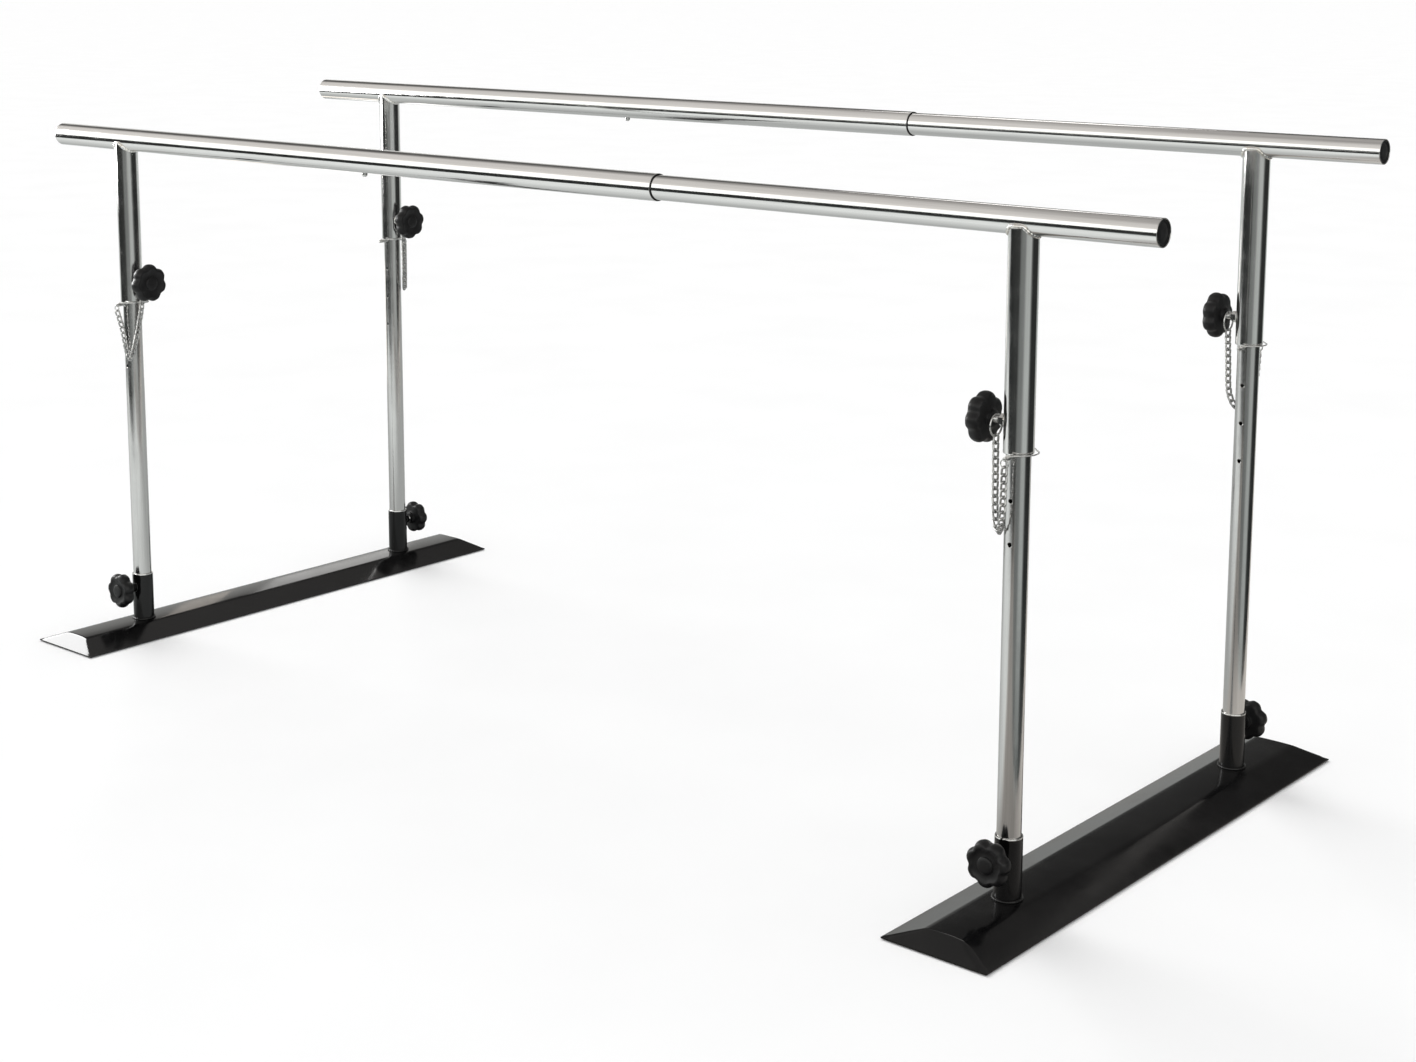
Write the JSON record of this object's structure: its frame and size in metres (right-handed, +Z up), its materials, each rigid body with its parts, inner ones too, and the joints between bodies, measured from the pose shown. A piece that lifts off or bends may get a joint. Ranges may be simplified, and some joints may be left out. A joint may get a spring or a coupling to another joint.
{
  "type": "adjustable walking parallel bars",
  "caption": "Adjustable parallel bars for walking practice: telescoping handrails on pinned, knob-clamped telescoping posts in low black floor bases.",
  "frame": {"origin": "on the floor, at the middle of the four posts", "axes": "+X along the handrails, towards the thinner inner tubes; +Y across the bars, from the front bar to the rear bar; +Z up"},
  "size_m": [2, 0.85, 0.8675],
  "materials": {
    "polished_tube": "polished",
    "bright_hardware": "bright zinc plate",
    "gloss_black_paint": "gloss black enamel",
    "black_knob": "moulded, semi-matte",
    "black_plug": "moulded, matte",
    "black_rubber": "matte"
  },
  "bodies": {
    "left_stand": {"base_left": "gloss_black_paint", "foot_strip_left": "black_rubber", "socket_front_left": "gloss_black_paint", "lower_post_front_left": "polished_tube", "socket_rear_left": "gloss_black_paint", "lower_post_rear_left": "polished_tube"},
    "right_stand": {"base_right": "gloss_black_paint", "foot_strip_right": "black_rubber", "socket_front_right": "gloss_black_paint", "lower_post_front_right": "polished_tube", "socket_rear_right": "gloss_black_paint", "lower_post_rear_right": "polished_tube"},
    "front_left_upright": {"upper_post_front_left": "polished_tube", "outer_rail_front": "polished_tube", "rail_plug_front_left": "black_plug", "chain_front_left": "bright_hardware"},
    "front_right_upright": {"upper_post_front_right": "polished_tube", "inner_rail_front": "polished_tube", "rail_plug_front_right": "black_plug", "chain_front_right": "bright_hardware", "snap_spring_front": "bright_hardware"},
    "front_snap_button": {"snap_button_front": "bright_hardware"},
    "rear_left_upright": {"upper_post_rear_left": "polished_tube", "outer_rail_rear": "polished_tube", "rail_plug_rear_left": "black_plug", "chain_rear_left": "bright_hardware"},
    "rear_right_upright": {"upper_post_rear_right": "polished_tube", "inner_rail_rear": "polished_tube", "rail_plug_rear_right": "black_plug", "chain_rear_right": "bright_hardware", "snap_spring_rear": "bright_hardware"},
    "rear_snap_button": {"snap_button_rear": "bright_hardware"},
    "upper_screw_front_left_body": {"upper_screw_front_left": "bright_hardware"},
    "upper_knob_front_left_body": {"upper_knob_front_left": "black_knob"},
    "ring_front_left_body": {"ring_front_left": "bright_hardware"},
    "lower_screw_front_left_body": {"lower_screw_front_left": "bright_hardware"},
    "lower_knob_front_left_body": {"lower_knob_front_left": "black_knob"},
    "lock_pin_front_left_body": {"lock_pin_front_left": "bright_hardware"},
    "bail_front_left_body": {"bail_front_left": "bright_hardware"},
    "upper_screw_front_right_body": {"upper_screw_front_right": "bright_hardware"},
    "upper_knob_front_right_body": {"upper_knob_front_right": "black_knob"},
    "ring_front_right_body": {"ring_front_right": "bright_hardware"},
    "lower_screw_front_right_body": {"lower_screw_front_right": "bright_hardware"},
    "lower_knob_front_right_body": {"lower_knob_front_right": "black_knob"},
    "lock_pin_front_right_body": {"lock_pin_front_right": "bright_hardware"},
    "bail_front_right_body": {"bail_front_right": "bright_hardware"},
    "upper_screw_rear_left_body": {"upper_screw_rear_left": "bright_hardware"},
    "upper_knob_rear_left_body": {"upper_knob_rear_left": "black_knob"},
    "ring_rear_left_body": {"ring_rear_left": "bright_hardware"},
    "lower_screw_rear_left_body": {"lower_screw_rear_left": "bright_hardware"},
    "lower_knob_rear_left_body": {"lower_knob_rear_left": "black_knob"},
    "lock_pin_rear_left_body": {"lock_pin_rear_left": "bright_hardware"},
    "bail_rear_left_body": {"bail_rear_left": "bright_hardware"},
    "upper_screw_rear_right_body": {"upper_screw_rear_right": "bright_hardware"},
    "upper_knob_rear_right_body": {"upper_knob_rear_right": "black_knob"},
    "ring_rear_right_body": {"ring_rear_right": "bright_hardware"},
    "lower_screw_rear_right_body": {"lower_screw_rear_right": "bright_hardware"},
    "lower_knob_rear_right_body": {"lower_knob_rear_right": "black_knob"},
    "lock_pin_rear_right_body": {"lock_pin_rear_right": "bright_hardware"},
    "bail_rear_right_body": {"bail_rear_right": "bright_hardware"}
  },
  "joints": [
    {"name": "bars_length", "type": "slide", "parent": "left_stand", "child": "right_stand", "axis": [1, 0, 0], "range_m": [-0.5, 0.25], "deforming": ["snap_button_front", "snap_button_rear"]},
    {"name": "front_height", "type": "slide", "parent": "left_stand", "child": "front_left_upright", "axis": [0, 0, 1], "range_m": [0, 0.09], "deforming": ["chain_front_left"]},
    {"name": "front_height_right", "type": "slide", "parent": "right_stand", "child": "front_right_upright", "axis": [0, 0, 1], "range_m": [0, 0.09], "deforming": ["chain_front_right"]},
    {"name": "front_button_press", "type": "slide", "parent": "front_right_upright", "child": "front_snap_button", "axis": [0, 0, 1], "range_m": [0, 0.0068], "stiffness_N_per_m": 400, "springref_m": -0.004, "deforming": ["snap_spring_front"]},
    {"name": "rear_height", "type": "slide", "parent": "left_stand", "child": "rear_left_upright", "axis": [0, 0, 1], "range_m": [0, 0.04], "deforming": ["chain_rear_left"]},
    {"name": "rear_height_right", "type": "slide", "parent": "right_stand", "child": "rear_right_upright", "axis": [0, 0, 1], "range_m": [0, 0.04], "deforming": ["chain_rear_right"]},
    {"name": "rear_button_press", "type": "slide", "parent": "rear_right_upright", "child": "rear_snap_button", "axis": [0, 0, 1], "range_m": [0, 0.0068], "stiffness_N_per_m": 400, "springref_m": -0.004, "deforming": ["snap_spring_rear"]},
    {"name": "upper_screw_travel_front_left", "type": "slide", "parent": "front_left_upright", "child": "upper_screw_front_left_body", "axis": [1, 0, 0], "range_m": [0, 0.0026]},
    {"name": "upper_knob_turn_front_left", "type": "hinge", "parent": "upper_screw_front_left_body", "child": "upper_knob_front_left_body", "pos_m": [-0.83, -0.275, 0.5748], "axis": [1, 0, 0], "range_deg": [0, 720]},
    {"name": "ring_swing_front_left", "type": "hinge", "parent": "upper_screw_front_left_body", "child": "ring_front_left_body", "pos_m": [-0.7998, -0.275, 0.5748], "axis": [1, 0, 0], "range_deg": [-25, 25]},
    {"name": "lower_screw_travel_front_left", "type": "slide", "parent": "left_stand", "child": "lower_screw_front_left_body", "axis": [0, -1, 0], "range_m": [0, 0.0026]},
    {"name": "lower_knob_turn_front_left", "type": "hinge", "parent": "lower_screw_front_left_body", "child": "lower_knob_front_left_body", "pos_m": [-0.83, -0.275, 0.073], "axis": [0, -1, 0], "range_deg": [0, 720]},
    {"name": "lock_pin_out_front_left", "type": "slide", "parent": "left_stand", "child": "lock_pin_front_left_body", "axis": [0, -1, 0], "range_m": [0, 0.046], "deforming": ["chain_front_left"]},
    {"name": "bail_open_front_left", "type": "hinge", "parent": "lock_pin_front_left_body", "child": "bail_front_left_body", "pos_m": [-0.83, -0.302, 0.538], "axis": [0, 0, -1], "range_deg": [0, 91]},
    {"name": "upper_screw_travel_front_right", "type": "slide", "parent": "front_right_upright", "child": "upper_screw_front_right_body", "axis": [-1, 0, 0], "range_m": [0, 0.0026]},
    {"name": "upper_knob_turn_front_right", "type": "hinge", "parent": "upper_screw_front_right_body", "child": "upper_knob_front_right_body", "pos_m": [0.83, -0.275, 0.5748], "axis": [-1, 0, 0], "range_deg": [0, 720]},
    {"name": "ring_swing_front_right", "type": "hinge", "parent": "upper_screw_front_right_body", "child": "ring_front_right_body", "pos_m": [0.7998, -0.275, 0.5748], "axis": [1, 0, 0], "range_deg": [-25, 25]},
    {"name": "lower_screw_travel_front_right", "type": "slide", "parent": "right_stand", "child": "lower_screw_front_right_body", "axis": [0, -1, 0], "range_m": [0, 0.0026]},
    {"name": "lower_knob_turn_front_right", "type": "hinge", "parent": "lower_screw_front_right_body", "child": "lower_knob_front_right_body", "pos_m": [0.83, -0.275, 0.073], "axis": [0, -1, 0], "range_deg": [0, 720]},
    {"name": "lock_pin_out_front_right", "type": "slide", "parent": "right_stand", "child": "lock_pin_front_right_body", "axis": [0, -1, 0], "range_m": [0, 0.046], "deforming": ["chain_front_right"]},
    {"name": "bail_open_front_right", "type": "hinge", "parent": "lock_pin_front_right_body", "child": "bail_front_right_body", "pos_m": [0.83, -0.302, 0.538], "axis": [0, 0, -1], "range_deg": [0, 91]},
    {"name": "upper_screw_travel_rear_left", "type": "slide", "parent": "rear_left_upright", "child": "upper_screw_rear_left_body", "axis": [1, 0, 0], "range_m": [0, 0.0026]},
    {"name": "upper_knob_turn_rear_left", "type": "hinge", "parent": "upper_screw_rear_left_body", "child": "upper_knob_rear_left_body", "pos_m": [-0.83, 0.275, 0.6248], "axis": [1, 0, 0], "range_deg": [0, 720]},
    {"name": "ring_swing_rear_left", "type": "hinge", "parent": "upper_screw_rear_left_body", "child": "ring_rear_left_body", "pos_m": [-0.7998, 0.275, 0.6248], "axis": [1, 0, 0], "range_deg": [-25, 25]},
    {"name": "lower_screw_travel_rear_left", "type": "slide", "parent": "left_stand", "child": "lower_screw_rear_left_body", "axis": [0, 1, 0], "range_m": [0, 0.0026]},
    {"name": "lower_knob_turn_rear_left", "type": "hinge", "parent": "lower_screw_rear_left_body", "child": "lower_knob_rear_left_body", "pos_m": [-0.83, 0.275, 0.073], "axis": [0, 1, 0], "range_deg": [0, 720]},
    {"name": "lock_pin_out_rear_left", "type": "slide", "parent": "left_stand", "child": "lock_pin_rear_left_body", "axis": [0, 1, 0], "range_m": [0, 0.046], "deforming": ["chain_rear_left"]},
    {"name": "bail_open_rear_left", "type": "hinge", "parent": "lock_pin_rear_left_body", "child": "bail_rear_left_body", "pos_m": [-0.83, 0.302, 0.588], "axis": [0, 0, 1], "range_deg": [0, 91]},
    {"name": "upper_screw_travel_rear_right", "type": "slide", "parent": "rear_right_upright", "child": "upper_screw_rear_right_body", "axis": [-1, 0, 0], "range_m": [0, 0.0026]},
    {"name": "upper_knob_turn_rear_right", "type": "hinge", "parent": "upper_screw_rear_right_body", "child": "upper_knob_rear_right_body", "pos_m": [0.83, 0.275, 0.6248], "axis": [-1, 0, 0], "range_deg": [0, 720]},
    {"name": "ring_swing_rear_right", "type": "hinge", "parent": "upper_screw_rear_right_body", "child": "ring_rear_right_body", "pos_m": [0.7998, 0.275, 0.6248], "axis": [1, 0, 0], "range_deg": [-25, 25]},
    {"name": "lower_screw_travel_rear_right", "type": "slide", "parent": "right_stand", "child": "lower_screw_rear_right_body", "axis": [0, 1, 0], "range_m": [0, 0.0026]},
    {"name": "lower_knob_turn_rear_right", "type": "hinge", "parent": "lower_screw_rear_right_body", "child": "lower_knob_rear_right_body", "pos_m": [0.83, 0.275, 0.073], "axis": [0, 1, 0], "range_deg": [0, 720]},
    {"name": "lock_pin_out_rear_right", "type": "slide", "parent": "right_stand", "child": "lock_pin_rear_right_body", "axis": [0, 1, 0], "range_m": [0, 0.046], "deforming": ["chain_rear_right"]},
    {"name": "bail_open_rear_right", "type": "hinge", "parent": "lock_pin_rear_right_body", "child": "bail_rear_right_body", "pos_m": [0.83, 0.302, 0.588], "axis": [0, 0, 1], "range_deg": [0, 91]}
  ],
  "couplings": [
    {"joint": "front_height_right", "follows": "front_height", "ratio": 1},
    {"joint": "rear_height_right", "follows": "rear_height", "ratio": 1},
    {"joint": "upper_screw_travel_front_left", "follows": "upper_knob_turn_front_left", "m_per_rad": 0.00019894},
    {"joint": "lower_screw_travel_front_left", "follows": "lower_knob_turn_front_left", "m_per_rad": 0.00019894},
    {"joint": "bail_open_front_left", "follows": "lock_pin_out_front_left", "rad_per_m": 34.147},
    {"joint": "upper_screw_travel_front_right", "follows": "upper_knob_turn_front_right", "m_per_rad": 0.00019894},
    {"joint": "lower_screw_travel_front_right", "follows": "lower_knob_turn_front_right", "m_per_rad": 0.00019894},
    {"joint": "bail_open_front_right", "follows": "lock_pin_out_front_right", "rad_per_m": 34.147},
    {"joint": "upper_screw_travel_rear_left", "follows": "upper_knob_turn_rear_left", "m_per_rad": 0.00019894},
    {"joint": "lower_screw_travel_rear_left", "follows": "lower_knob_turn_rear_left", "m_per_rad": 0.00019894},
    {"joint": "bail_open_rear_left", "follows": "lock_pin_out_rear_left", "rad_per_m": 34.147},
    {"joint": "upper_screw_travel_rear_right", "follows": "upper_knob_turn_rear_right", "m_per_rad": 0.00019894},
    {"joint": "lower_screw_travel_rear_right", "follows": "lower_knob_turn_rear_right", "m_per_rad": 0.00019894},
    {"joint": "bail_open_rear_right", "follows": "lock_pin_out_rear_right", "rad_per_m": 34.147}
  ]
}
